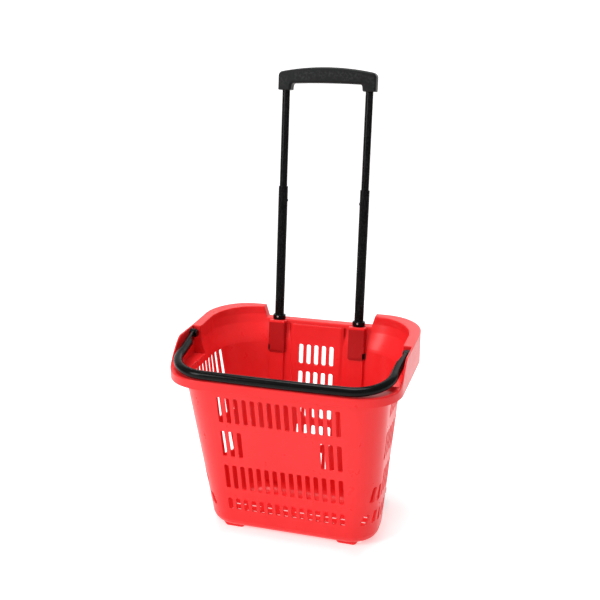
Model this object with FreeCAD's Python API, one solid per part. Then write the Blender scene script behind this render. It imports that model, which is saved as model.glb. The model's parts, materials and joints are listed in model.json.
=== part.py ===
import FreeCAD, Part
import math
import os

# Rolling shopping basket with a two-stage pull-up handle.  Millimetres.
# Z is up, the front wall faces -Y, the handle and the wheels are at +Y, X is across the width.
# Heights are above the floor.  Depths are written from the middle of the rim, and export()
# then moves everything by Y_SHIFT so that the origin is under the middle of the whole object.

V = FreeCAD.Vector

os.makedirs("parts", exist_ok=True)

# ---------------------------------------------------------------- driving dimensions
Y_SHIFT = -28.04

# basket wall
WALL = 3.0
FLOOR_Z = 3.0
SIDE_HALF = 183.0
SIDE_DRAFT = 0.078
SIDE_REF_Z = 60.5
FRONT_Y = -114.4
FRONT_DRAFT = -0.20
FRONT_REF_Z = 191.5
BACK_Y = 133.7
BACK_REF_Z = 291.5

# rim
RIM_HALF = 233.0
RIM_HALF_DEPTH = 174.5
RIM_R_FRONT = 84.5
RIM_R_BACK = 91.0
SKIRT_Z = 351.5
FRONT_RIM_Z = 369.5
SIDE_RIM_Z = 414.5
HIGH_RIM_Z = 418.6
RIM_DROP_Y = (-54.0, -122.0)
RIM_RISE_Y = (20.0, 165.0)
LIP_WIDTH = 17.0
LIP = 3.0
SEAT_Y = (-108.0, 5.0)
SEAT_Z = 353.5
NOTCH_Z = 394.4
NOTCH_HALF = 117.0
NOTCH_HALF_TOP = 126.0

# handle posts
TILT = 7.0
POST_X = 89.0
POST_Y = 155.4
POST_Z = 396.1
FIXED_R = 12.0
FIXED_BORE_R = 10.8
FIXED_LENGTH = 355.0
STAGE1_R = 10.0
STAGE1_BORE_R = 9.0
STAGE1_BOTTOM = -50.0
STAGE1_TOP = 285.2
STAGE2_R = 8.0
STAGE2_BORE_R = 7.0
STAGE2_BOTTOM = 225.0
STAGE2_TOP = 517.0
SLIDE_GAP = 0.08

# grip
GRIP_T = 487.5
GRIP_HALF = 104.0
GRIP_DEPTH = 27.0

# bail
BAIL_R = 9.0
BAIL_PIVOT_Y = -8.0
BAIL_PIVOT_Z = 402.5
BAIL_REACH = 159.8
BAIL_ARM_X = 219.5
BAIL_CORNER_X = 142.0
BAIL_CORNER_R = 73.0
BAIL_DROP = 8.4
BAIL_PIN_R = 4.0
BAIL_EYE = (218.8, 229.6)
PIN_GAP = 0.06

# wheels
WHEEL_R = 32.0
WHEEL_WIDTH = 22.0
WHEEL_X = 144.0
AXLE_R = 4.0
AXLE_Y = 119.0
AXLE_Z = 32.0
AXLE_HALF = 165.0
FIN = 3.5
FIN_GAP = 3.5

SIDES = (("left", -1.0), ("right", 1.0))


# ---------------------------------------------------------------- helpers
def box(x0, x1, y0, y1, z0, z1):
    return Part.makeBox(x1 - x0, y1 - y0, z1 - z0, V(x0, y0, z0))


def cyl(r, h, base, axis):
    return Part.makeCylinder(r, h, base, axis)


def tube(r_out, r_in, z0, z1, x=0.0):
    outer = cyl(r_out, z1 - z0, V(x, 0, z0), V(0, 0, 1))
    return outer.cut(cyl(r_in, z1 - z0 + 2.0, V(x, 0, z0 - 1.0), V(0, 0, 1)))


def arc(a, m, b):
    return Part.Arc(a, m, b).toShape()


def line(a, b):
    return Part.LineSegment(a, b).toShape()


def polygon(points):
    return Part.Face(Part.makePolygon(list(points) + [points[0]]))


def plan_wire(z, half, front, back, r_front, r_back):
    """Rounded rectangle at height z, symmetric about x = 0."""
    k = math.sqrt(0.5)
    edges = []
    fx = half - r_front
    bx = half - r_back
    fy = front + r_front
    by = back - r_back
    edges.append(line(V(-fx, front, z), V(fx, front, z)))
    edges.append(arc(V(fx, front, z), V(fx + r_front * k, fy - r_front * k, z), V(half, fy, z)))
    edges.append(line(V(half, fy, z), V(half, by, z)))
    edges.append(arc(V(half, by, z), V(bx + r_back * k, by + r_back * k, z), V(bx, back, z)))
    edges.append(line(V(bx, back, z), V(-bx, back, z)))
    edges.append(arc(V(-bx, back, z), V(-bx - r_back * k, by + r_back * k, z), V(-half, by, z)))
    edges.append(line(V(-half, by, z), V(-half, fy, z)))
    edges.append(arc(V(-half, fy, z), V(-fx - r_front * k, fy - r_front * k, z), V(-fx, front, z)))
    return Part.Wire(edges)


def plan_loft(sections, inset=0.0):
    wires = []
    for z, half, front, back, r_front, r_back in sections:
        wires.append(plan_wire(z, half - inset, front + inset, back - inset,
                               r_front - inset, r_back - inset))
    return Part.makeLoft(wires, True, True)


def rounded_rect(w, h, r):
    """Face in the XY plane, centred on the origin."""
    a = w / 2.0
    b = h / 2.0
    k = r * (1.0 - math.sqrt(0.5))
    edges = [
        line(V(-a + r, -b, 0), V(a - r, -b, 0)),
        arc(V(a - r, -b, 0), V(a - k, -b + k, 0), V(a, -b + r, 0)),
        line(V(a, -b + r, 0), V(a, b - r, 0)),
        arc(V(a, b - r, 0), V(a - k, b - k, 0), V(a - r, b, 0)),
        line(V(a - r, b, 0), V(-a + r, b, 0)),
        arc(V(-a + r, b, 0), V(-a + k, b - k, 0), V(-a, b - r, 0)),
        line(V(-a, b - r, 0), V(-a, -b + r, 0)),
        arc(V(-a, -b + r, 0), V(-a + k, -b + k, 0), V(-a + r, -b, 0)),
    ]
    return Part.Face(Part.Wire(edges))


def slot_y(x, z0, z1, y0, y1, width, r=3.4):
    s = rounded_rect(width, z1 - z0, r).extrude(V(0, 0, y1 - y0))
    s.rotate(V(0, 0, 0), V(1, 0, 0), 90)
    s.translate(V(x, y1, (z0 + z1) / 2.0))
    return s


def slot_x(y, z0, z1, x0, x1, width, r=3.4):
    s = rounded_rect(z1 - z0, width, r).extrude(V(0, 0, x1 - x0))
    s.rotate(V(0, 0, 0), V(0, 1, 0), 90)
    s.translate(V(x0, y, (z0 + z1) / 2.0))
    return s


def slot_z(x, y, w, h, z0, z1, r=3.4):
    s = rounded_rect(w, h, r).extrude(V(0, 0, z1 - z0))
    s.translate(V(x, y, z0))
    return s


def on_post(shape):
    """Puts a shape drawn along a vertical post axis onto the leaning post axis."""
    s = shape.copy()
    s.rotate(V(0, 0, 0), V(1, 0, 0), -TILT)
    s.translate(V(0, POST_Y, POST_Z))
    return s


def export(shape, name):
    s = shape.copy()
    s.translate(V(0, Y_SHIFT, 0))
    s.exportStep("parts/" + name + ".step")


# ---------------------------------------------------------------- basket shell
def side_half(z):
    return SIDE_HALF + SIDE_DRAFT * (z - SIDE_REF_Z)


def front_y(z):
    return FRONT_Y + FRONT_DRAFT * (z - FRONT_REF_Z)


def back_y(z):
    """Inner face of the back wall, parallel to the posts."""
    return BACK_Y + math.tan(math.radians(TILT)) * (z - BACK_REF_Z)


def body_section(z, inset=0.0, r_front=58.0, r_back=108.0):
    return (z, side_half(z) - inset, front_y(z) + inset, back_y(z) + WALL - inset,
            r_front - inset, r_back - inset)


def smooth(u):
    u = min(1.0, max(0.0, u))
    return u * u * (3.0 - 2.0 * u)


def upper_section(z):
    """Wall outline where it opens out into the rim, and its rear corners tighten."""
    flare = smooth((z - 338.0) / 28.0)
    lean = smooth((z - 345.0) / 75.0)
    corner = smooth((z - 288.0) / 110.0)
    spread = smooth((z - 338.0) / 58.0)
    half = side_half(z) * (1.0 - spread) + (RIM_HALF - LIP_WIDTH) * spread
    front = front_y(z) * (1.0 - flare) + (LIP_WIDTH - RIM_HALF_DEPTH) * flare
    back = (back_y(z) + WALL) * (1.0 - lean) + (RIM_HALF_DEPTH - 14.0) * lean
    r_front = 58.0 + 0.019 * z + 4.0 * flare
    r_back = 108.0 + 0.024 * z - 20.0 * corner
    return (z, half, front, back, r_front, r_back)


UPPER_LEVELS = (343.5, 349.5, 355.5, 361.5, 368.0, 384.0, 402.0, 430.0)


def wall_sections():
    rows = []
    for rise, inset in ((0.0, 15.0), (2.6, 9.2), (6.5, 4.6), (12.0, 1.5), (19.0, 0.0)):
        rows.append(body_section(FLOOR_Z + rise, inset))
    return rows + [upper_section(z) for z in UPPER_LEVELS]


def inner_sections():
    rows = []
    for rise, inset in ((0.0, 15.6), (2.6, 9.4), (6.5, 4.7), (12.0, 1.5), (19.0, 0.0)):
        rows.append(body_section(FLOOR_Z + WALL + rise, inset))
    return rows + [upper_section(z) for z in UPPER_LEVELS]


def rim_profile(z_offset):
    """Points of the rim's top line, from the front to the back, in the YZ plane."""
    y_high, y_low = RIM_DROP_Y
    steps = 18
    pts = [V(0, -230.0, FRONT_RIM_Z + z_offset)]
    for i in range(steps + 1):
        u = i / float(steps)
        y = y_low + (y_high - y_low) * u
        z = FRONT_RIM_Z + (SIDE_RIM_Z - FRONT_RIM_Z) * smooth(u)
        pts.append(V(0, y, z + z_offset))
    pts.append(V(0, RIM_RISE_Y[0], SIDE_RIM_Z + z_offset))
    pts.append(V(0, RIM_RISE_Y[1], HIGH_RIM_Z + z_offset))
    pts.append(V(0, 230.0, HIGH_RIM_Z + z_offset))
    return pts


def band(z_low, z_high):
    """Slab that follows the rim line between two offsets from it."""
    low = rim_profile(z_low)
    high = rim_profile(z_high)
    face = polygon(low + high[::-1])
    slab = face.extrude(V(600.0, 0, 0))
    slab.translate(V(-300.0, 0, 0))
    return slab


def rim_prism(inset, z0, z1):
    return plan_loft([
        (z0, RIM_HALF, -RIM_HALF_DEPTH, RIM_HALF_DEPTH, RIM_R_FRONT, RIM_R_BACK),
        (z1, RIM_HALF, -RIM_HALF_DEPTH, RIM_HALF_DEPTH, RIM_R_FRONT, RIM_R_BACK),
    ], inset)


def notch_prism(grow, z_bottom):
    top = HIGH_RIM_Z + 6.0
    face = polygon([
        V(-NOTCH_HALF - grow, 120.0, z_bottom),
        V(NOTCH_HALF + grow, 120.0, z_bottom),
        V(NOTCH_HALF_TOP + grow, 120.0, top),
        V(-NOTCH_HALF_TOP - grow, 120.0, top),
    ])
    return face.extrude(V(0, 80.0, 0))


def post_block(x, half, half_back, y_front, y_back, t0, t1):
    """Tapered upright block in the post frame: narrow towards the inside of the basket."""
    face = polygon([
        V(x - half, y_front, t0),
        V(x + half, y_front, t0),
        V(x + half_back, y_back, t0),
        V(x - half_back, y_back, t0),
    ])
    return face.extrude(V(0, 0, t1 - t0))


FRONT_PITCH = 17.0
SLOT = 9.6
FRONT_ROWS = {"top": (267.0, 326.4), "middle": (186.5, 247.5), "low": (106.5, 165.5), "foot": (52.5, 81.5)}
BACK_ROWS = [(302.5, 346.4), (242.5, 286.5), (182.5, 226.5), (122.5, 166.5), (62.5, 106.5)]
SIDE_ROWS = [((283.2, 341.0), 3.0, -3, 4), ((196.5, 256.5), 10.0, -4, 4), ((109.5, 169.5), 10.0, -3, 3),
             ((53.5, 83.5), 10.0, -4, 1)]
SIDE_PITCH = 17.0


def slot_cutters():
    cuts = []
    for name, (z0, z1) in FRONT_ROWS.items():
        for i in range(-7, 8):
            if name == "middle" and abs(i) < 5:
                continue
            y = front_y((z0 + z1) / 2.0)
            cuts.append(slot_y(i * FRONT_PITCH, z0, z1, y - 14.0, y + 16.0, SLOT))
    for z0, z1 in BACK_ROWS:
        for i in range(-2, 3):
            y = back_y((z0 + z1) / 2.0)
            cuts.append(slot_y(i * FRONT_PITCH, z0, z1, y - 12.0, y + 12.0, SLOT, 4.2))
    for (z0, z1), mid, first, last in SIDE_ROWS:
        for i in range(first, last + 1):
            y = mid + i * SIDE_PITCH
            cuts.append(slot_x(y, z0, z1, 120.0, 226.0, SLOT))
            cuts.append(slot_x(y, z0, z1, -226.0, -120.0, SLOT))
    for s in (-1.0, 1.0):
        for y in (-75.0, -58.0):
            cuts.append(slot_x(y, 106.5, 143.5, s * 175.0 - 22.0, s * 175.0 + 22.0, SLOT))
        cuts.append(slot_x(-75.0, 53.5, 79.5, s * 170.0 - 22.0, s * 170.0 + 22.0, SLOT))
    for row in range(6):
        for col in range(-4, 5):
            cuts.append(slot_z(col * 34.0, -50.0 + row * 22.0, 26.0, 9.0, -2.0, 8.0))
    return cuts


def make_shell():
    inner = plan_loft(inner_sections(), WALL)
    above = band(0.0, 120.0)
    wall = plan_loft(wall_sections()).cut(inner).cut(above)
    rim = rim_prism(0.0, SKIRT_Z, HIGH_RIM_Z + 8.0).cut(above)
    skirt = rim.cut(rim_prism(WALL, SKIRT_Z - 1.0, HIGH_RIM_Z + 9.0))
    ring = rim.cut(inner)
    lip = ring.common(band(-LIP, 10.0))

    # side recesses that hold the arms of the bail
    seat = box(-RIM_HALF + WALL, RIM_HALF - WALL, SEAT_Y[0], SEAT_Y[1], SEAT_Z - WALL, 440.0)
    seat_core = rim_prism(WALL, SEAT_Z - WALL, HIGH_RIM_Z + 9.0).common(seat)
    solid = wall.fuse(lip)
    solid = solid.cut(seat_core)
    seat_floor = ring.common(box(-240, 240, SEAT_Y[0] - WALL, SEAT_Y[1] + WALL, SEAT_Z - WALL, SEAT_Z))
    seat_end_front = ring.common(box(-240, 240, SEAT_Y[0] - WALL, SEAT_Y[0], SEAT_Z - WALL, 440.0))
    seat_end_back = ring.common(box(-240, 240, SEAT_Y[1], SEAT_Y[1] + WALL, SEAT_Z - WALL, 440.0))
    solid = solid.fuse([skirt, seat_floor, seat_end_front, seat_end_back])

    # notch between the two rear wings
    solid = solid.fuse(ring.common(notch_prism(WALL, NOTCH_Z - WALL)))
    solid = solid.cut(notch_prism(0.0, NOTCH_Z))

    # raised middle panel of the back wall and the housings round the posts
    n_wall = (BACK_Y + WALL - POST_Y - math.tan(math.radians(TILT)) * (BACK_REF_Z - POST_Z))
    n_wall = n_wall * math.cos(math.radians(TILT))
    parts = [on_post(post_block(0.0, 53.0, 62.0, n_wall - 5.5, n_wall - 1.0, -345.0, -8.0))]
    for s in (-1.0, 1.0):
        x = s * POST_X
        parts.append(on_post(post_block(x, 15.6, 17.6, -15.6, n_wall, -372.0, -2.6)))
        parts.append(on_post(post_block(x, 17.2, 19.0, -18.4, n_wall - 1.0, -70.0, -2.6)))
        parts.append(on_post(post_block(x, 16.0, 16.0, n_wall - 1.0, 16.0, -368.0, -330.0)))
    solid = solid.fuse(parts)
    for s in (-1.0, 1.0):
        x = s * POST_X
        bore = cyl(FIXED_R + 0.15, 400.0, V(x, 0, -FIXED_LENGTH - 0.2), V(0, 0, 1))
        open_back = box(x - 12.15, x + 12.15, 0.0, 13.4, -330.0, -20.0)
        screw_hole = cyl(2.0, 20.0, V(x, 5.0, -342.0), V(0, 1, 0))
        solid = solid.cut([on_post(bore), on_post(open_back), on_post(screw_hole)])
        hole = box(x + s * 17.2 - 2.8, x + s * 17.2 + 2.8, -26.0, n_wall - 1.5, -70.5, -58.0)
        solid = solid.cut(on_post(hole))

    # front feet
    feet = []
    for s in (-1.0, 1.0):
        low = plan_wire(0.0, 20.0, -10.0, 10.0, 6.0, 6.0)
        high = plan_wire(12.0, 28.0, -12.0, 14.0, 7.0, 7.0)
        foot = Part.makeLoft([low, high], True, True)
        foot.translate(V(s * 121.0, -57.0, 0.0))
        feet.append(foot)

    # wheel brackets behind the rear corners
    half_gap = WHEEL_WIDTH / 2.0 + FIN_GAP
    side = [V(0, 20, 18), V(0, 122, 18), V(0, 135, 31), V(0, 135, 62), V(0, 122, 79), V(0, 20, 79)]
    for s in (-1.0, 1.0):
        x = s * WHEEL_X
        for x0 in (x - half_gap - FIN, x + half_gap):
            fin = polygon([V(x0, p.y, p.z) for p in side]).extrude(V(FIN, 0, 0))
            feet.append(fin)
        feet.append(box(x - half_gap - FIN, x + half_gap + FIN, 20.0, 122.0, 75.5, 79.0))
    extra = feet[0].fuse(feet[1:]).cut(inner)
    solid = solid.fuse(extra)
    solid = solid.cut(cyl(AXLE_R + 0.02, 420.0, V(-210.0, AXLE_Y, AXLE_Z), V(1, 0, 0)))

    # raised centre panel of the front wall
    z0 = FRONT_ROWS["middle"][0] - 8.0
    z1 = FRONT_ROWS["middle"][1] + 8.0
    panel = polygon([
        V(-74.0, front_y(z0) + 1.0, z0),
        V(-74.0, front_y(z0) - 0.8, z0 + 1.0),
        V(-74.0, front_y(z1) - 0.8, z1 - 1.0),
        V(-74.0, front_y(z1) + 1.0, z1),
    ])
    solid = solid.fuse(panel.extrude(V(148.0, 0, 0)))

    # blind sockets for the pins that carry the bail
    for s in (-1.0, 1.0):
        solid = solid.cut(cyl(BAIL_PIN_R, 4.0, V(s * (RIM_HALF - 1.4), BAIL_PIVOT_Y, BAIL_PIVOT_Z), V(-s, 0, 0)))
    solid = solid.cut(slot_cutters())
    return solid.removeSplitter()


export(make_shell(), "basket_shell")


# ---------------------------------------------------------------- bail handle
def make_bail():
    r = BAIL_CORNER_R
    # centre of each corner bend; the arms lean so that they run into it smoothly
    cx = BAIL_CORNER_X
    cy = -BAIL_REACH + r
    arm = V(BAIL_ARM_X - cx, -9.0 - cy, 0)
    lean = math.atan2(arm.x, arm.y) - math.asin(r / arm.Length)
    bow = 2.0
    rise = math.atan2(2.0 * bow, cx)
    bends = {}
    for s in (-1.0, 1.0):
        mid = (-lean + rise - math.pi / 2.0) / 2.0
        end = -math.pi / 2.0 + rise
        pts = []
        for ang in (-lean, mid, end):
            pts.append(V(s * (cx + r * math.cos(ang)), cy + r * math.sin(ang), 0))
        bends[s] = pts
    left = bends[-1.0]
    right = bends[1.0]
    front_mid = V(0, left[2].y - math.tan(rise / 2.0) * abs(left[2].x), 0)
    path = Part.Wire([
        line(V(-BAIL_ARM_X, -9.0, 0), left[0]),
        arc(left[0], left[1], left[2]),
        arc(left[2], front_mid, right[2]),
        arc(right[2], right[1], right[0]),
        line(right[0], V(BAIL_ARM_X, -9.0, 0)),
    ])
    start = (left[0] - V(-BAIL_ARM_X, -9.0, 0)).normalize()
    profile = Part.Wire([Part.makeCircle(BAIL_R, V(-BAIL_ARM_X, -9.0, 0), start)])
    rod = path.makePipeShell([profile], True, True, 1)
    x_in, x_out = BAIL_EYE
    for s in (-1.0, 1.0):
        x0 = x_in if s > 0 else -x_out
        rod = rod.fuse(cyl(9.0, x_out - x_in, V(x0, 0, 0), V(1, 0, 0)))
    for s in (-1.0, 1.0):
        # the arms thin down towards the eyes on their inner sides
        thin = polygon([
            V(s * 190.0, 14.0, -20.0),
            V(s * x_in, 14.0, -20.0),
            V(s * x_in, -14.0, -20.0),
            V(s * 213.0, -40.0, -20.0),
            V(s * 190.0, -40.0, -20.0),
        ])
        rod = rod.cut(thin.extrude(V(0, 0, 40.0)))
        rod = rod.cut(cyl(BAIL_PIN_R + PIN_GAP, 40.0, V(s * 222.0 - 20.0, 0, 0), V(1, 0, 0)))
    rod.rotate(V(0, 0, 0), V(1, 0, 0), BAIL_DROP)
    rod.translate(V(0, BAIL_PIVOT_Y, BAIL_PIVOT_Z))
    return rod.removeSplitter()


export(make_bail(), "bail_handle")

bail_pins = []
for name, s in SIDES:
    x_tip = s * (RIM_HALF - 1.4)
    x_head = s * (BAIL_EYE[0] - 0.4)
    shank = cyl(BAIL_PIN_R, abs(x_tip - x_head), V(x_tip, BAIL_PIVOT_Y, BAIL_PIVOT_Z), V(-s, 0, 0))
    head = cyl(7.5, 3.6, V(x_head, BAIL_PIVOT_Y, BAIL_PIVOT_Z), V(-s, 0, 0))
    rim = [e for e in head.Edges if e.BoundBox.XLength < 0.01 and abs(e.BoundBox.XMin) < BAIL_EYE[0] - 2.0]
    head = head.makeFillet(1.2, rim)
    bail_pins.append(shank.fuse(head))
export(Part.makeCompound(bail_pins), "bail_pins")

# ---------------------------------------------------------------- posts, lowest stage first
SPIGOT = 19.5
FLANGE_H = 8.5
FLANGE_R = 13.7
RIVET_T = 257.8
MARK_T = 16.5

collar_pins = []
mark_pins = []
rivets = []
cup_screws = []
for name, s in SIDES:
    x = s * POST_X

    fixed = tube(FIXED_R, FIXED_BORE_R, -FIXED_LENGTH, -0.3, x)
    screw_hole = cyl(2.0, 20.0, V(x, 5.0, -342.0), V(0, 1, 0))
    export(on_post(fixed.cut(screw_hole)), "fixed_tube_" + name)

    collar = cyl(FLANGE_R, FLANGE_H, V(x, 0, 0), V(0, 0, 1))
    top_edges = [e for e in collar.Edges if abs(e.BoundBox.ZMin - FLANGE_H) < 0.01 and e.BoundBox.ZLength < 0.01]
    collar = collar.makeFillet(1.4, top_edges)
    collar = collar.fuse(cyl(FIXED_BORE_R, SPIGOT, V(x, 0, -SPIGOT), V(0, 0, 1)))
    collar = collar.cut(cyl(STAGE1_R + SLIDE_GAP, 60.0, V(x, 0, -30.0), V(0, 0, 1)))
    pin_hole = cyl(1.3, 2.4, V(x, -FLANGE_R - 0.1, 5.0), V(0, 1, 0))
    export(on_post(collar.cut(pin_hole)), "post_collar_" + name)
    pin = cyl(1.3, 2.5, V(x, -FLANGE_R - 0.2, 5.0), V(0, 1, 0))
    head = cyl(1.9, 0.7, V(x, -FLANGE_R - 0.5, 5.0), V(0, 1, 0))
    head = head.cut(cyl(FLANGE_R, 20.0, V(x, 0, -5.0), V(0, 0, 1)))
    collar_pins.append(pin.fuse(head))

    stage1 = tube(STAGE1_R, STAGE1_BORE_R, STAGE1_BOTTOM, STAGE1_TOP, x)
    side_hole = cyl(1.6, 5.0, V(x - s * 7.5, 0, RIVET_T), V(-s, 0, 0))
    front_hole = cyl(1.6, 5.0, V(x, -7.5, MARK_T), V(0, -1, 0))
    export(on_post(stage1.cut([side_hole, front_hole])), "lower_tube_" + name)

    foot1 = tube(FIXED_BORE_R - SLIDE_GAP, STAGE1_R, STAGE1_BOTTOM, -SPIGOT - 0.5, x)
    foot1 = foot1.fuse(tube(FIXED_BORE_R - SLIDE_GAP, 5.0, STAGE1_BOTTOM - 3.0, STAGE1_BOTTOM, x))
    export(on_post(foot1), "lower_guide_" + name)

    bush = tube(STAGE1_BORE_R, STAGE2_R + SLIDE_GAP, 252.0, STAGE1_TOP, x)
    bush = bush.fuse(tube(STAGE1_R + 0.2, STAGE2_R + SLIDE_GAP, STAGE1_TOP, STAGE1_TOP + 2.0, x))
    export(on_post(bush.cut(cyl(1.6, 8.0, V(x - s * 8.4, 0, RIVET_T), V(-s, 0, 0)))), "top_bush_" + name)

    shank = cyl(1.6, 1.7, V(x - s * 8.4, 0, RIVET_T), V(-s, 0, 0))
    dome = Part.makeSphere(3.2, V(x - s * 8.5, 0, RIVET_T))
    dome = dome.cut(cyl(STAGE1_R, 20.0, V(x, 0, RIVET_T - 10.0), V(0, 0, 1)))
    rivets.append(shank.fuse(dome))
    mark = cyl(1.6, 0.85, V(x, -9.95, MARK_T), V(0, 1, 0))
    mark_pins.append(mark)

    stage2 = tube(STAGE2_R, STAGE2_BORE_R, STAGE2_BOTTOM, STAGE2_TOP, x)
    grip_pin_hole = cyl(1.6, 12.0, V(x, 4.0, GRIP_T + 16.0), V(0, 1, 0))
    export(on_post(stage2.cut(grip_pin_hole)), "upper_tube_" + name)

    foot2 = tube(STAGE1_BORE_R - SLIDE_GAP, STAGE2_R, STAGE2_BOTTOM, 251.4, x)
    foot2 = foot2.fuse(tube(STAGE1_BORE_R - SLIDE_GAP, 4.0, STAGE2_BOTTOM - 3.0, STAGE2_BOTTOM, x))
    export(on_post(foot2), "upper_guide_" + name)

    shaft = cyl(2.0, 6.6, V(x, 10.9, -342.0), V(0, 1, 0))
    pan = cyl(4.2, 2.6, V(x, 16.02, -342.0), V(0, 1, 0))
    cup_screws.append(shaft.fuse(pan))

export(Part.makeCompound([on_post(p) for p in collar_pins]), "collar_pins")
export(Part.makeCompound([on_post(p) for p in mark_pins]), "lower_tube_pins")
export(Part.makeCompound([on_post(p) for p in rivets]), "lower_tube_rivets")
export(Part.makeCompound([on_post(p) for p in cup_screws]), "post_foot_screws")


# ---------------------------------------------------------------- grip
def edges_near(shape, x, z, tol=1.0):
    """Edges that run front to back at a given place of the grip's outline."""
    found = []
    for e in shape.Edges:
        b = e.BoundBox
        if b.XLength < 0.01 and b.ZLength < 0.01 and abs(b.XMin - x) < tol and abs(b.ZMin - z) < tol:
            found.append(e)
    return found


def make_grip():
    g = GRIP_T
    w = GRIP_HALF
    low = g - 14.0
    inner_low = 78.0
    inner_high = 74.6
    edges = [
        line(V(-w, 0, low), V(-w, 0, g + 36.6)),
        arc(V(-w, 0, g + 36.6), V(0, 0, g + 47.2), V(w, 0, g + 36.6)),
        line(V(w, 0, g + 36.6), V(w, 0, low)),
        line(V(w, 0, low), V(inner_low, 0, low)),
        line(V(inner_low, 0, low), V(inner_high, 0, g + 13.6)),
        arc(V(inner_high, 0, g + 13.6), V(0, 0, g + 15.2), V(-inner_high, 0, g + 13.6)),
        line(V(-inner_high, 0, g + 13.6), V(-inner_low, 0, low)),
        line(V(-inner_low, 0, low), V(-w, 0, low)),
    ]
    slab = Part.Face(Part.Wire(edges)).extrude(V(0, GRIP_DEPTH, 0))
    slab.translate(V(0, -GRIP_DEPTH / 2.0, 0))
    for x, z, r in ((w, g + 36.6, 10.0), (inner_high, g + 13.6, 5.0)):
        for s in (-1.0, 1.0):
            slab = slab.makeFillet(r, edges_near(slab, s * x, z))
    rims = []
    for e in slab.Edges:
        b = e.BoundBox
        if b.YLength < 0.01 and abs(abs(b.YMin) - GRIP_DEPTH / 2.0) < 0.01 and b.ZMax > low + 0.1:
            rims.append(e)
    slab = slab.makeFillet(5.0, rims)
    slab = slab.cut(box(-200.0, 200.0, -40.0, 40.0, low - 1.0, g))
    bottom = [e for e in slab.Edges if abs(e.BoundBox.ZMax - g) < 0.01]
    return slab.makeChamfer(1.2, bottom)


grip_solid = make_grip()
seam_points = [V(-120, -30, GRIP_T + 24.0), V(0, -30, GRIP_T + 36.0), V(120, -30, GRIP_T + 24.0)]
seam_edges = [
    arc(seam_points[0], seam_points[1], seam_points[2]),
    line(seam_points[2], V(120, -30, GRIP_T + 80.0)),
    line(V(120, -30, GRIP_T + 80.0), V(-120, -30, GRIP_T + 80.0)),
    line(V(-120, -30, GRIP_T + 80.0), seam_points[0]),
]
above_seam = Part.Face(Part.Wire(seam_edges)).extrude(V(0, 60.0, 0))
cavity = box(-66.0, 66.0, -9.0, 9.0, GRIP_T + 19.0, GRIP_T + 31.5)
grip_cover = grip_solid.common(above_seam).cut(cavity)
grip_body = grip_solid.cut(above_seam).cut(cavity)
screw_x = 48.0
grip_screws = []
for s in (-1.0, 1.0):
    x = s * POST_X
    grip_body = grip_body.cut(cyl(STAGE2_R, STAGE2_TOP - GRIP_T + 1.0, V(x, 0, GRIP_T - 1.0), V(0, 0, 1)))
    grip_cover = grip_cover.cut(cyl(STAGE2_R, STAGE2_TOP - GRIP_T + 1.0, V(x, 0, GRIP_T - 1.0), V(0, 0, 1)))
    leg_head = cyl(3.2, 1.8, V(x, GRIP_DEPTH / 2.0 - 1.8, GRIP_T + 16.0), V(0, 1, 0))
    grip_body = grip_body.cut([cyl(1.6, 12.0, V(x, 4.0, GRIP_T + 16.0), V(0, 1, 0)),
                               cyl(3.2, 6.0, V(x, GRIP_DEPTH / 2.0 - 1.8, GRIP_T + 16.0), V(0, 1, 0))])
    leg_shaft = cyl(1.6, GRIP_DEPTH / 2.0 - 1.8 - 7.2, V(x, 7.2, GRIP_T + 16.0), V(0, 1, 0))
    grip_screws.append(leg_shaft.fuse(leg_head))
    boss = cyl(4.5, 30.0, V(s * screw_x, 0, GRIP_T + 10.0), V(0, 0, 1))
    boss_low = boss.common(grip_solid).cut(above_seam)
    boss_high = boss.common(grip_solid).common(above_seam)
    grip_body = grip_body.fuse(boss_low)
    grip_cover = grip_cover.fuse(boss_high)
    bore = cyl(1.6, 24.0, V(s * screw_x, 0, GRIP_T + 12.0), V(0, 0, 1))
    sink = cyl(3.2, 6.8, V(s * screw_x, 0, GRIP_T + 10.0), V(0, 0, 1))
    grip_body = grip_body.cut([bore, sink])
    grip_cover = grip_cover.cut(cyl(1.6, 24.0, V(s * screw_x, 0, GRIP_T + 12.0), V(0, 0, 1)))
    rod = cyl(1.6, 19.2, V(s * screw_x, 0, GRIP_T + 16.8), V(0, 0, 1))
    cap = cyl(3.2, 1.8, V(s * screw_x, 0, GRIP_T + 15.0), V(0, 0, 1))
    grip_screws.append(rod.fuse(cap))

export(on_post(grip_body.removeSplitter()), "grip_body")
export(on_post(grip_cover.removeSplitter()), "grip_cover")
export(Part.makeCompound([on_post(p) for p in grip_screws]), "grip_screws")

# ---------------------------------------------------------------- wheels and axle
axle = cyl(AXLE_R, 2.0 * AXLE_HALF, V(-AXLE_HALF, AXLE_Y, AXLE_Z), V(1, 0, 0))
export(axle, "axle")

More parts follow.
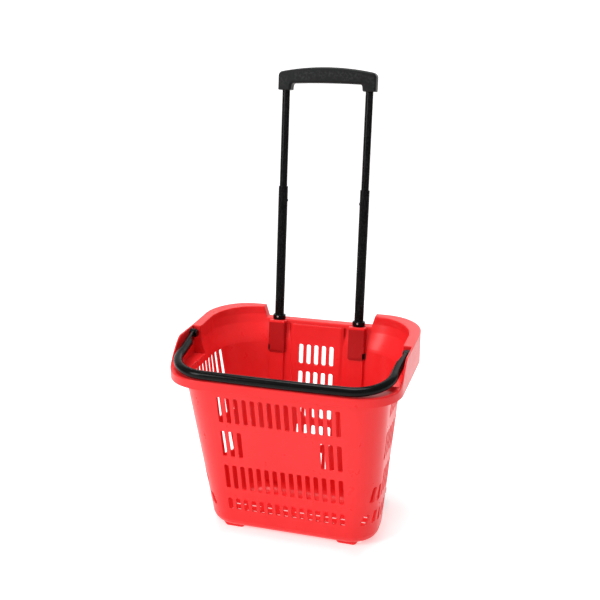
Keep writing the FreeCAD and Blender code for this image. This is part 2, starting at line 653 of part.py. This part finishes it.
caps = []
spacers = []
for name, s in SIDES:
    x = s * WHEEL_X
    w = WHEEL_WIDTH
    x0 = x - w / 2.0
    c = V(x0, AXLE_Y, AXLE_Z)
    ax = V(1, 0, 0)
    hub = cyl(24.0, w - 4.0, V(x0 + 2.0, AXLE_Y, AXLE_Z), ax)
    recess = cyl(20.5, 6.0, V(x0 + 2.0, AXLE_Y, AXLE_Z), ax)
    recess = recess.fuse(cyl(20.5, 6.0, V(x0 + w - 8.0, AXLE_Y, AXLE_Z), ax))
    hub = hub.cut(recess)
    hub = hub.fuse(cyl(8.5, w, c, ax))
    for i in range(6):
        spoke = box(x0 + 3.5, x0 + w - 3.5, AXLE_Y - 1.4, AXLE_Y + 1.4, AXLE_Z + 7.0, AXLE_Z + 21.5)
        spoke.rotate(V(x, AXLE_Y, AXLE_Z), ax, 60.0 * i)
        hub = hub.fuse(spoke)
    hub = hub.cut(cyl(AXLE_R + PIN_GAP, w + 2.0, V(x0 - 1.0, AXLE_Y, AXLE_Z), ax))
    export(hub.removeSplitter(), "wheel_hub_" + name)

    tyre = cyl(WHEEL_R, w, c, ax)
    tread = [e for e in tyre.Edges if e.BoundBox.XLength < 0.01]
    tyre = tyre.makeFillet(5.0, tread)
    tyre = tyre.cut(cyl(24.0, w + 2.0, V(x0 - 1.0, AXLE_Y, AXLE_Z), ax))
    export(tyre, "tyre_" + name)

    for x1 in (x0 - FIN_GAP + 0.1, x0 + w + 0.4):
        ring = cyl(7.0, FIN_GAP - 0.5, V(x1, AXLE_Y, AXLE_Z), ax)
        spacers.append(ring.cut(cyl(AXLE_R, 8.0, V(x1 - 2.0, AXLE_Y, AXLE_Z), ax)))
    outer_face = s * (WHEEL_X + w / 2.0 + FIN_GAP + FIN)
    disc = cyl(8.0, 3.6, V(outer_face + s * 0.2, AXLE_Y, AXLE_Z), V(s, 0, 0))
    edge = [e for e in disc.Edges if e.BoundBox.XLength < 0.01 and abs(abs(e.BoundBox.XMin) - abs(outer_face) - 3.8) < 0.05]
    disc = disc.makeFillet(1.6, edge)
    caps.append(disc.cut(axle))

export(Part.makeCompound(caps), "axle_caps")
export(Part.makeCompound(spacers), "axle_spacers")
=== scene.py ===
import json
import math

import bpy
from mathutils import Matrix, Vector

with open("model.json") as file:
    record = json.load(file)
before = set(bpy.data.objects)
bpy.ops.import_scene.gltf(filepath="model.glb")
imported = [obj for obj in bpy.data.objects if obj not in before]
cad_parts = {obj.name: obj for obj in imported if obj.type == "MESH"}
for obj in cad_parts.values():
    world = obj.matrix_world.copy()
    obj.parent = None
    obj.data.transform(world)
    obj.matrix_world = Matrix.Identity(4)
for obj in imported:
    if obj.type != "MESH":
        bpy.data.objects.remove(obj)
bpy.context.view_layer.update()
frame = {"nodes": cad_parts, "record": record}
nodes = frame["nodes"]

MM = 0.001


# ---------------------------------------------------------------- node helpers
def new_material(name):
    mat = bpy.data.materials.new(name)
    mat.use_nodes = True
    tree = mat.node_tree
    tree.nodes.clear()
    out = tree.nodes.new("ShaderNodeOutputMaterial")
    shader = tree.nodes.new("ShaderNodeBsdfPrincipled")
    tree.links.new(shader.outputs["BSDF"], out.inputs["Surface"])
    return mat, tree, shader


def noise(tree, scale, detail=3.0, rough=0.5, stretch=(1.0, 1.0, 1.0)):
    """Noise fixed to the object, stretched along its axes."""
    coord = tree.nodes.new("ShaderNodeTexCoord")
    mapping = tree.nodes.new("ShaderNodeMapping")
    mapping.inputs["Scale"].default_value = stretch
    tex = tree.nodes.new("ShaderNodeTexNoise")
    tex.inputs["Scale"].default_value = scale
    tex.inputs["Detail"].default_value = detail
    tex.inputs["Roughness"].default_value = rough
    tree.links.new(coord.outputs["Object"], mapping.inputs["Vector"])
    tree.links.new(mapping.outputs["Vector"], tex.inputs["Vector"])
    return tex.outputs["Fac"]


def ramp(tree, value, stops):
    node = tree.nodes.new("ShaderNodeValToRGB")
    cr = node.color_ramp
    while len(cr.elements) < len(stops):
        cr.elements.new(0.5)
    for element, (pos, colour) in zip(cr.elements, stops):
        element.position = pos
        element.color = tuple(colour) + (1.0,)
    tree.links.new(value, node.inputs["Fac"])
    return node.outputs["Color"]


def spread(tree, value, low, high, from_low=0.3, from_high=0.7):
    """Maps from_low..from_high onto low..high."""
    node = tree.nodes.new("ShaderNodeMapRange")
    node.inputs["From Min"].default_value = from_low
    node.inputs["From Max"].default_value = from_high
    node.inputs["To Min"].default_value = low
    node.inputs["To Max"].default_value = high
    tree.links.new(value, node.inputs["Value"])
    return node.outputs["Result"]


def bump(tree, height, strength, distance, normal=None):
    node = tree.nodes.new("ShaderNodeBump")
    node.inputs["Strength"].default_value = strength
    node.inputs["Distance"].default_value = distance
    tree.links.new(height, node.inputs["Height"])
    if normal is not None:
        tree.links.new(normal, node.inputs["Normal"])
    return node.outputs["Normal"]


def soft_edges(tree, radius):
    node = tree.nodes.new("ShaderNodeBevel")
    node.samples = 6
    node.inputs["Radius"].default_value = radius
    return node.outputs["Normal"]


def product(tree, a, b):
    """Product of two values."""
    node = tree.nodes.new("ShaderNodeMath")
    node.operation = "MULTIPLY"
    tree.links.new(a, node.inputs[0])
    tree.links.new(b, node.inputs[1])
    return node.outputs[0]


def blend(tree, factor, a, colour):
    """Mixes from the colour of socket a to a fixed colour."""
    mix = tree.nodes.new("ShaderNodeMix")
    mix.data_type = "RGBA"
    tree.links.new(factor, mix.inputs["Factor"])
    tree.links.new(a, mix.inputs["A"])
    mix.inputs["B"].default_value = tuple(colour) + (1.0,)
    return mix.outputs["Result"]


def window(tree, value, low, high, soft):
    """1 between low and high, fading to 0 over the soft distance outside them."""
    rise = spread(tree, value, 0.0, 1.0, low - soft, low)
    fall = spread(tree, value, 1.0, 0.0, high, high + soft)
    return product(tree, rise, fall)


def wear(tree, colour, worn, scale=220.0, amount=0.5):
    """Lightens a colour along convex edges, broken up by noise."""
    geo = tree.nodes.new("ShaderNodeNewGeometry")
    edge = spread(tree, geo.outputs["Pointiness"], 0.0, 1.0, 0.53, 0.60)
    speck = spread(tree, noise(tree, scale, 4.0), 0.0, amount, 0.45, 0.62)
    return blend(tree, product(tree, edge, speck), colour, worn)


# ---------------------------------------------------------------- materials
# zones of the basket in metres, as (low, high, softness); across is |x|
# the socket zone marks painted shade on the socket fronts; the pocket zone marks painted shade in
# the shallow holes beside them
SOCKET_ACROSS = (0.070, 0.1085, 0.0006)
SOCKET_DEPTH = (0.085, 0.119, 0.004)
SOCKET_HEIGHT = (0.324, 0.3905, 0.001)
POCKET_ACROSS = (0.1034, 0.1095, 0.0003)
POCKET_DEPTH = (0.085, 0.130, 0.004)
POCKET_HEIGHT = (0.3262, 0.3395, 0.0003)
RIM_BLEND = (0.352, 0.358)
EDGE_ROUNDING = 0.0009
RIM_ROUNDING = 0.0042


def zone(tree, across, axes, limits_across, limits_depth, limits_height):
    """1 inside a box that is mirrored left and right."""
    inside = window(tree, across, *limits_across)
    inside = product(tree, inside, window(tree, axes.outputs["Z"], *limits_height))
    return product(tree, inside, window(tree, axes.outputs["Y"], *limits_depth))


def red_plastic():
    mat, tree, s = new_material("basket_red")
    coord = tree.nodes.new("ShaderNodeTexCoord")
    axes = tree.nodes.new("ShaderNodeSeparateXYZ")
    tree.links.new(coord.outputs["Object"], axes.inputs["Vector"])
    side = tree.nodes.new("ShaderNodeMath")
    side.operation = "ABSOLUTE"
    tree.links.new(axes.outputs["X"], side.inputs[0])

    flow = noise(tree, 9.0, 3.0, 0.55, (1.0, 1.0, 0.35))
    colour = ramp(tree, flow, [(0.25, (0.71, 0.015, 0.017)), (0.75, (0.79, 0.022, 0.024))])
    # painted shade: the post socket fronts are darkened to a deeper red where the tube behind
    # blocks the light through the plastic
    across = side.outputs[0]
    socket = zone(tree, across, axes, SOCKET_ACROSS, SOCKET_DEPTH, SOCKET_HEIGHT)
    colour = blend(tree, socket, colour, (0.40, 0.008, 0.009))
    # painted shade: the shallow holes beside the sockets are painted nearly black for the shade
    # inside them
    pocket_shade = zone(tree, across, axes, POCKET_ACROSS, POCKET_DEPTH, POCKET_HEIGHT)
    colour = blend(tree, pocket_shade, colour, (0.030, 0.003, 0.003))
    tree.links.new(colour, s.inputs["Base Color"])

    scuff = noise(tree, 40.0, 4.0, 0.55)
    tree.links.new(spread(tree, scuff, 0.27, 0.33), s.inputs["Roughness"])
    s.inputs["IOR"].default_value = 1.49
    s.inputs["Specular IOR Level"].default_value = 0.22
    s.inputs["Subsurface Weight"].default_value = 0.12
    s.inputs["Subsurface Radius"].default_value = (1.0, 0.12, 0.10)
    s.inputs["Subsurface Scale"].default_value = 0.008
    # shading only: edges look rounder on the rim than lower down
    rounding = spread(tree, axes.outputs["Z"], EDGE_ROUNDING, RIM_ROUNDING, *RIM_BLEND)
    edges = tree.nodes.new("ShaderNodeBevel")
    edges.samples = 8
    tree.links.new(rounding, edges.inputs["Radius"])
    n = bump(tree, noise(tree, 12.0, 2.0), 0.16, 0.0010, edges.outputs["Normal"])
    tree.links.new(n, s.inputs["Normal"])
    return mat


def black_gloss(name, rough, edge_radius=0.0005, base=0.0020):
    mat, tree, s = new_material(name)
    tone = noise(tree, 35.0, 4.0)
    light = (base * 1.5, base * 1.55, base * 1.6)
    colour = ramp(tree, tone, [(0.3, (base, base, base)), (0.7, light)])
    tree.links.new(wear(tree, colour, (0.02, 0.02, 0.02)), s.inputs["Base Color"])
    scuff = noise(tree, 60.0, 4.0, 0.6)
    tree.links.new(spread(tree, scuff, rough, rough + 0.07), s.inputs["Roughness"])
    grain = noise(tree, 700.0, 2.0)
    s.inputs["Specular IOR Level"].default_value = 0.10
    n = bump(tree, grain, 0.03, 0.0001, soft_edges(tree, edge_radius))
    tree.links.new(n, s.inputs["Normal"])
    return mat


def tube_enamel():
    mat, tree, s = new_material("black_tube")
    tone = noise(tree, 20.0, 3.0)
    colour = ramp(tree, tone, [(0.3, (0.0015, 0.0015, 0.0016)), (0.7, (0.0028, 0.0028, 0.0030))])
    tree.links.new(wear(tree, colour, (0.03, 0.03, 0.03), 300.0, 0.3), s.inputs["Base Color"])
    rub = noise(tree, 30.0, 3.0, 0.5, (3.0, 3.0, 0.25))
    tree.links.new(spread(tree, rub, 0.15, 0.22), s.inputs["Roughness"])
    s.inputs["Specular IOR Level"].default_value = 0.07
    n = bump(tree, noise(tree, 40.0, 2.0), 0.03, 0.0002)
    tree.links.new(n, s.inputs["Normal"])
    return mat


def grip_texture():
    mat, tree, s = new_material("grip_grey")
    tone = noise(tree, 60.0, 4.0)
    colour = ramp(tree, tone, [(0.3, (0.0055, 0.0062, 0.0060)), (0.7, (0.0072, 0.0080, 0.0078))])
    tree.links.new(wear(tree, colour, (0.03, 0.03, 0.03)), s.inputs["Base Color"])
    tree.links.new(spread(tree, noise(tree, 120.0, 3.0), 0.40, 0.46), s.inputs["Roughness"])
    pebble = tree.nodes.new("ShaderNodeTexVoronoi")
    pebble.inputs["Scale"].default_value = 1500.0
    coord = tree.nodes.new("ShaderNodeTexCoord")
    tree.links.new(coord.outputs["Object"], pebble.inputs["Vector"])
    s.inputs["Specular IOR Level"].default_value = 0.12
    n = bump(tree, pebble.outputs["Distance"], 0.05, 0.0001, soft_edges(tree, 0.0006))
    tree.links.new(n, s.inputs["Normal"])
    return mat


def steel():
    mat, tree, s = new_material("steel")
    brushed = noise(tree, 80.0, 4.0, 0.6, (0.2, 8.0, 8.0))
    colour = ramp(tree, brushed, [(0.3, (0.48, 0.48, 0.49)), (0.7, (0.66, 0.66, 0.67))])
    tree.links.new(colour, s.inputs["Base Color"])
    s.inputs["Metallic"].default_value = 1.0
    tree.links.new(spread(tree, brushed, 0.26, 0.42), s.inputs["Roughness"])
    tree.links.new(bump(tree, brushed, 0.1, 0.0001, soft_edges(tree, 0.0003)), s.inputs["Normal"])
    return mat


def nylon():
    mat, tree, s = new_material("guide_plastic")
    tone = noise(tree, 40.0, 3.0)
    colour = ramp(tree, tone, [(0.3, (0.48, 0.47, 0.43)), (0.7, (0.56, 0.55, 0.51))])
    tree.links.new(colour, s.inputs["Base Color"])
    tree.links.new(spread(tree, tone, 0.38, 0.52), s.inputs["Roughness"])
    s.inputs["Subsurface Weight"].default_value = 0.1
    s.inputs["Subsurface Scale"].default_value = 0.002
    tree.links.new(bump(tree, noise(tree, 500.0, 2.0), 0.1, 0.0001), s.inputs["Normal"])
    return mat


def rubber():
    mat, tree, s = new_material("tyre_rubber")
    dust = noise(tree, 50.0, 6.0, 0.65)
    colour = ramp(tree, dust, [(0.35, (0.018, 0.018, 0.018)), (0.75, (0.050, 0.048, 0.045))])
    tree.links.new(wear(tree, colour, (0.11, 0.105, 0.10), 180.0, 0.8), s.inputs["Base Color"])
    tree.links.new(spread(tree, dust, 0.62, 0.82), s.inputs["Roughness"])
    n = bump(tree, noise(tree, 650.0, 4.0), 0.3, 0.0002, soft_edges(tree, 0.0006))
    tree.links.new(n, s.inputs["Normal"])
    return mat


MATERIALS = {
    "basket_red": red_plastic(),
    "black_plastic": black_gloss("black_plastic", 0.16),
    "black_tube": tube_enamel(),
    "black_rivet": black_gloss("black_rivet", 0.30, 0.0003),
    "guide_plastic": nylon(),
    "grip_grey": grip_texture(),
    "steel": steel(),
    "hub_grey": black_gloss("hub_grey", 0.38, 0.0006, 0.022),
    "tyre_rubber": rubber(),
}

for part in frame["record"]["subparts"]:
    ob = nodes[part["node"]]
    ob.data.materials.clear()
    ob.data.materials.append(MATERIALS[part["material_slot"]])


# ---------------------------------------------------------------- floor and backdrop
SWEEP_HALF = 6.0
SWEEP_FRONT = -5.0
SWEEP_BACK = 2.6
SWEEP_RADIUS = 1.2
SWEEP_TOP = 6.0
SWEEP_STEPS = 16


def sweep_floor():
    """Paper that lies on the floor and curves up behind the object, square to the camera."""
    profile = [(SWEEP_FRONT, 0.0), (SWEEP_BACK, 0.0)]
    for i in range(1, SWEEP_STEPS + 1):
        angle = 0.5 * math.pi * i / SWEEP_STEPS
        y = SWEEP_BACK + SWEEP_RADIUS * math.sin(angle)
        profile.append((y, SWEEP_RADIUS * (1.0 - math.cos(angle))))
    profile.append((SWEEP_BACK + SWEEP_RADIUS, SWEEP_TOP))
    verts = []
    faces = []
    for y, z in profile:
        verts.append((-SWEEP_HALF, y, z))
        verts.append((SWEEP_HALF, y, z))
    for i in range(len(profile) - 1):
        a = 2 * i
        faces.append((a, a + 1, a + 3, a + 2))
    mesh = bpy.data.meshes.new("backdrop")
    mesh.from_pydata(verts, [], faces)
    for p in mesh.polygons:
        p.use_smooth = True
    ob = bpy.data.objects.new("backdrop", mesh)
    bpy.context.scene.collection.objects.link(ob)
    ob.matrix_world = Matrix.Rotation(math.radians(CAM_AZ), 4, "Z")
    mat, tree, s = new_material("paper")
    tone = noise(tree, 3.0, 2.0)
    colour = ramp(tree, tone, [(0.3, (0.90, 0.895, 0.895)), (0.7, (0.915, 0.91, 0.91))])
    tree.links.new(colour, s.inputs["Base Color"])
    s.inputs["Roughness"].default_value = 0.95
    s.inputs["Specular IOR Level"].default_value = 0.0
    s.inputs["Emission Color"].default_value = (1.0, 1.0, 1.0, 1.0)
    s.inputs["Emission Strength"].default_value = 0.42
    mesh.materials.append(mat)


# ---------------------------------------------------------------- camera
CAM_AZ = 16.92
CAM_EL = 17.65
CAM_ROLL = -0.17
CAM_SENSOR = 36.0
CAM_LENS = 55.77
CAM_SHIFT = (0.01167, 0.00667)
CAM_POS = Vector((502.8, -1715.4, 1043.1)) * MM

a = math.radians(CAM_AZ)
e = math.radians(CAM_EL)
back = Vector((math.sin(a) * math.cos(e), -math.cos(a) * math.cos(e), math.sin(e)))
right = Vector((math.cos(a), math.sin(a), 0.0))
up = back.cross(right)
r = math.radians(CAM_ROLL)
right_r = right * math.cos(r) + up * math.sin(r)
up_r = up * math.cos(r) - right * math.sin(r)
cam_data = bpy.data.cameras.new("camera")
cam_data.sensor_width = CAM_SENSOR
cam_data.lens = CAM_LENS
cam_data.shift_x, cam_data.shift_y = CAM_SHIFT
cam_data.clip_end = 50.0
camera = bpy.data.objects.new("camera", cam_data)
bpy.context.scene.collection.objects.link(camera)
camera.matrix_world = Matrix((
    (right_r.x, up_r.x, back.x, CAM_POS.x),
    (right_r.y, up_r.y, back.y, CAM_POS.y),
    (right_r.z, up_r.z, back.z, CAM_POS.z),
    (0.0, 0.0, 0.0, 1.0),
))
bpy.context.scene.camera = camera

sweep_floor()


# ---------------------------------------------------------------- light
def area(name, pos, target, size, power):
    data = bpy.data.lights.new(name, "AREA")
    data.shape = "RECTANGLE"
    data.size = size[0]
    data.size_y = size[1]
    data.energy = power
    ob = bpy.data.objects.new(name, data)
    bpy.context.scene.collection.objects.link(ob)
    ob.location = pos
    ob.rotation_euler = (Vector(target) - Vector(pos)).to_track_quat("-Z", "Y").to_euler()


middle = (0.0, 0.0, 0.30)
area("key", (-1.5, -1.9, 1.5), middle, (0.9, 1.3), 39.0)
area("fill", (1.5, -2.0, 1.0), middle, (0.8, 1.2), 0.8)
area("top", (-0.1, -0.1, 2.5), middle, (1.4, 1.1), 44.0)
area("rear", (0.6, 2.0, 1.6), middle, (1.6, 1.2), 8.0)

WORLD_LIGHT = 0.40
WORLD_SEEN = 1.0

# the surroundings light the object softly and are seen as white past the paper's edges
world = bpy.data.worlds.new("world")
world.use_nodes = True
sky = world.node_tree
background = sky.nodes["Background"]
background.inputs["Color"].default_value = (1.0, 0.995, 0.99, 1.0)
path = sky.nodes.new("ShaderNodeLightPath")
level = spread(sky, path.outputs["Is Camera Ray"], WORLD_LIGHT, WORLD_SEEN, 0.0, 1.0)
sky.links.new(level, background.inputs["Strength"])
bpy.context.scene.world = world
bpy.context.scene.view_settings.view_transform = "Standard"
